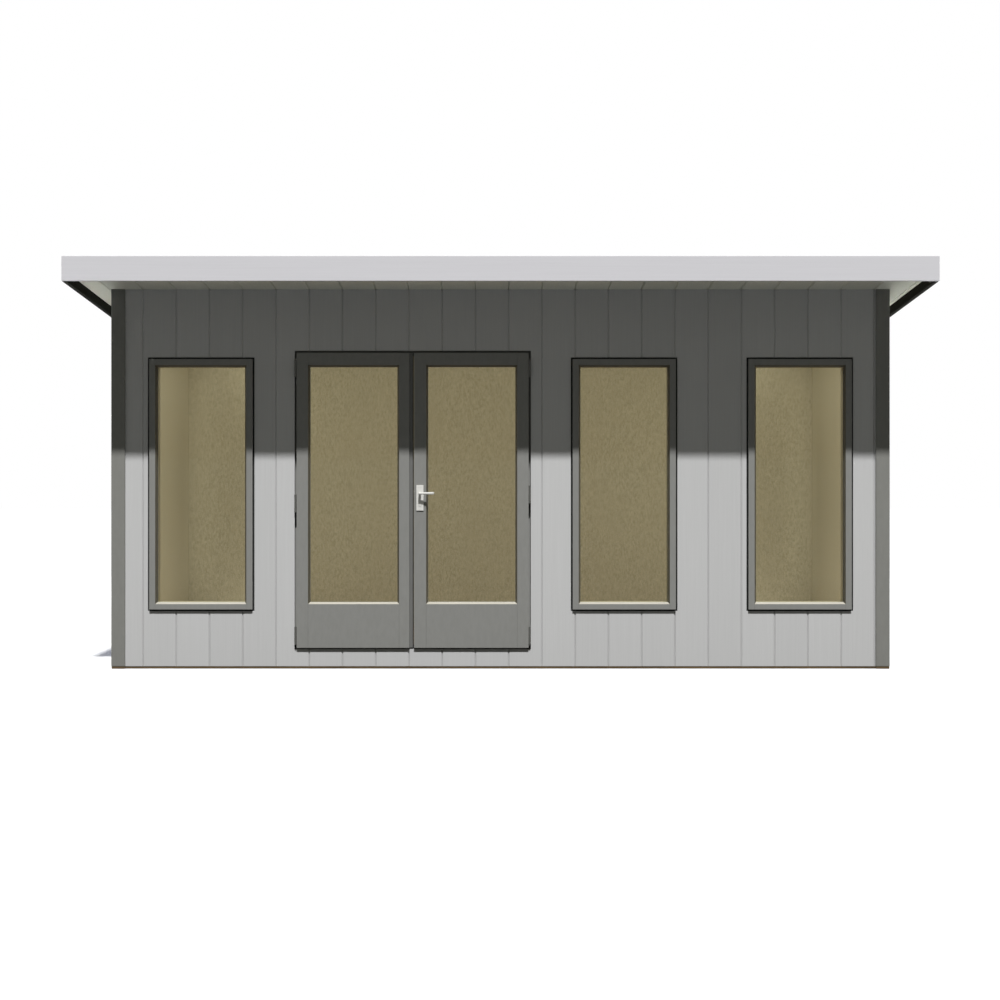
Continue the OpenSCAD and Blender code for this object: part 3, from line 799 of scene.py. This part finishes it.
floor_material = bpy.data.materials.new("pale_floor")
floor_material.use_nodes = True
tree = floor_material.node_tree
tree.nodes.clear()
offset = calculate(tree, "SUBTRACT", place_along(tree, axis=1), middle_y)
away = add_node(tree, "ShaderNodeMapRange", {
    "From Min": half_depth + near_walls, "From Max": half_depth + off_walls,
    "Value": calculate(tree, "ABSOLUTE", offset)})
dulled = mix_colours(tree, away.outputs[0], "#000000", "#666768")
bounce = add_node(tree, "ShaderNodeBsdfDiffuse", {"Color": dulled})
pale = add_node(tree, "ShaderNodeBsdfDiffuse", {"Color": "#D8D8D6"})
glow = add_node(tree, "ShaderNodeEmission", {"Color": "#C4CEFF", "Strength": 0.15})
lit = add_node(tree, "ShaderNodeAddShader", {0: pale.outputs[0], 1: glow.outputs[0]})
add_node(tree, "ShaderNodeOutputMaterial", {"Surface": split_rays(tree, bounce, lit)})

bm = bmesh.new()
bmesh.ops.create_grid(bm, x_segments=1, y_segments=1, size=floor_reach,
                      matrix=Matrix.Translation((0, 0, -floor_drop)))
mesh = bpy.data.meshes.new("studio_floor")
bm.to_mesh(mesh)
bm.free()
mesh.materials.append(floor_material)
floor = bpy.data.objects.new("studio_floor", mesh)
bpy.context.scene.collection.objects.link(floor)

world = bpy.data.worlds.new("white_surround")
bpy.context.scene.world = world
world.use_nodes = True
tree = world.node_tree
tree.nodes.clear()
dim = add_node(tree, "ShaderNodeBackground", {"Color": "#FFFFF0", "Strength": 0.187})
white = add_node(tree, "ShaderNodeBackground", {"Color": "#FFFFFF", "Strength": 1.0})
add_node(tree, "ShaderNodeOutputWorld", {"Surface": split_rays(tree, dim, white)})

# Lamps
# One high lamp in front gives the roof's shadow on the wall, and soft lamps fill the back, the sides and
# the soffit's ends. Flat lamps in the room show its lining through the glass: they stand a little apart,
# since lamps in one plane would hide each other.


def add_lamp(name, kind, settings, place, towards):
    """A lamp at a place that shines towards a point."""
    lamp = bpy.data.lights.new(name, kind)
    for key, value in settings.items():
        setattr(lamp, key, value)
    holder = bpy.data.objects.new(name, lamp)
    bpy.context.scene.collection.objects.link(holder)
    aim = (Vector(towards) - Vector(place)).to_track_quat("-Z", "Y")
    holder.matrix_world = Matrix.Translation(place) @ aim.to_matrix().to_4x4()
    holder.visible_camera = False


def add_panel(name, watts, width, height, place, towards):
    """A flat lamp of a real width and height."""
    add_lamp(name, "AREA", {"energy": watts, "shape": "RECTANGLE", "size": width, "size_y": height},
             place, towards)


def mirrored(side, place):
    """A place on the right side, or its mirror image on the left."""
    return (side * place[0], place[1], place[2])


sun_place, sun_target = (0.78, -10.0, 15.8), (0, 0, 0)
back_place, back_target = (6.5, 8.0, 4.5), (0.8, 1.0, 1.0)
side_place, side_target = (9.0, 0.3, 2.5), (2.4, 0.3, 1.3)
soffit_place, soffit_target = (2.6, 0.0, 0.03), (2.6, 0.001, 1.0)
add_lamp("high_sun", "SUN", {"energy": 4.75, "angle": 0.03}, sun_place, sun_target)
for side in (-1, 1):
    add_lamp(f"back_fill_{side}", "AREA", {"energy": 185.0, "size": 5.0},
             mirrored(side, back_place), mirrored(side, back_target))
    add_lamp(f"side_fill_{side}", "AREA", {"energy": 14.0, "size": 3.6, "spread": 0.3},
             mirrored(side, side_place), mirrored(side, side_target))
    add_lamp(f"soffit_fill_{side}", "AREA",
             {"energy": 1.4, "shape": "RECTANGLE", "size": 0.36, "size_y": 3.3, "spread": 0.14},
             mirrored(side, soffit_place), mirrored(side, soffit_target))

room_low, room_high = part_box("left_wall")
room_y = (room_low.y + room_high.y) / 2
room_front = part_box("front_wall_left")[1].y
room_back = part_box("back_wall")[0].y
room_mid_z = 1.15
panel_width = 4.2
panel_depth = 2.1
panel_height = 1.9
apart = 0.04
keep_roll = 0.001

level_watts, level_end_watts, level_end_width, level_end_x = 7.7, 3.2, 0.46, 1.84
for name, z, up in (("ceiling_lamp", 2.1, -1), ("floor_lamp", 0.14, 1)):
    add_panel(name, level_watts, panel_width, panel_depth,
              (0, room_y, z), (0, room_y + keep_roll, z + up))
    for side in (-1, 1):
        x = side * level_end_x
        add_panel(f"{name}_{side}", level_end_watts, level_end_width, panel_depth,
                  (x, room_y, z + apart * up), (x, room_y + keep_roll, z + up))

front_watts, front_end_watts, front_end_width, front_end_x, front_gap = 16.1, 4.55, 0.5, 1.98, 0.06
add_panel("front_lamp", front_watts, panel_width, panel_height,
          (0, room_front + front_gap, room_mid_z), (0, room_back, room_mid_z))
for side in (-1, 1):
    x = side * front_end_x
    add_panel(f"front_lamp_{side}", front_end_watts, front_end_width, panel_height,
              (x, room_front + front_gap + apart, room_mid_z), (x, room_back, room_mid_z))

corner_watts, corner_width, corner_reach = 0.22, 0.06, 0.15
for side, wall_face in ((-1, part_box("left_wall")[1].x), (1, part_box("right_wall")[0].x)):
    add_panel(f"corner_lamp_{side}", corner_watts, corner_width, panel_height,
              (wall_face - side * corner_reach, room_back - corner_reach, room_mid_z),
              (wall_face, room_back, room_mid_z))

# Camera
# Level, square to the front and far back, a little above mid height.
camera_place = (-0.003, -13.355, 1.19)
camera = bpy.data.cameras.new("front_camera")
camera.sensor_width = 36.0
camera.lens = 71.87
camera.shift_y = -0.023
camera.clip_end = 200.0
viewpoint = bpy.data.objects.new("front_camera", camera)
viewpoint.matrix_world = Matrix.Translation(camera_place) @ Matrix.Rotation(quarter_turn, 4, "X")
bpy.context.scene.collection.objects.link(viewpoint)
bpy.context.scene.camera = viewpoint
bpy.context.scene.view_settings.view_transform = "Standard"
